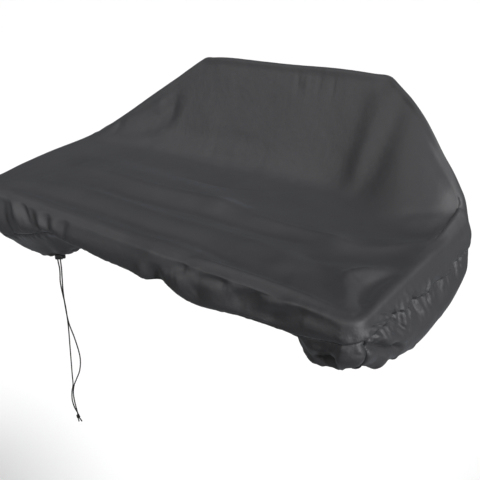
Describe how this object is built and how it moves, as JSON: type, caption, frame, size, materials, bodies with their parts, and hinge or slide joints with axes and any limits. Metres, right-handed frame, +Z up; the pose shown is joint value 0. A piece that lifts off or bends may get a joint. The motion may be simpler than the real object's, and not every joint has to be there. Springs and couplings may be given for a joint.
{
  "type": "fitted electric piano cover with a drawcord hem",
  "caption": "Fitted cloth cover for an electric piano, draped over a raised music rest, with a gathered skirt, a drawcord hem, a spring cord lock and two hanging cord strands tied in a knot.",
  "frame": {"origin": "middle of the flat top of the instrument that carries the cover, just under the cloth", "axes": "+X along the cover's length to the end that the picture shows nearest, +Y to the back where the raised rest is, +Z up"},
  "size_m": [0.9914, 0.4718, 0.7709],
  "materials": {
    "cover_cloth": "charcoal grey plain-woven nylon with a soft sheen",
    "skirt_cloth": "the same woven nylon, gathered into the hem",
    "lock_plastic": "black moulded plastic, satin",
    "cord_yarn": "black braided round cord"
  },
  "bodies": {
    "root": {"top_panel": "cover_cloth", "skirt_front": "skirt_cloth", "skirt_right": "skirt_cloth", "skirt_back": "skirt_cloth", "skirt_left": "skirt_cloth", "cord_lock": "lock_plastic", "cord_lock_button": "lock_plastic", "cord_strand_left": "cord_yarn", "cord_strand_right": "cord_yarn", "corner_cord": "cord_yarn", "cord_knot": "cord_yarn"}
  },
  "joints": []
}
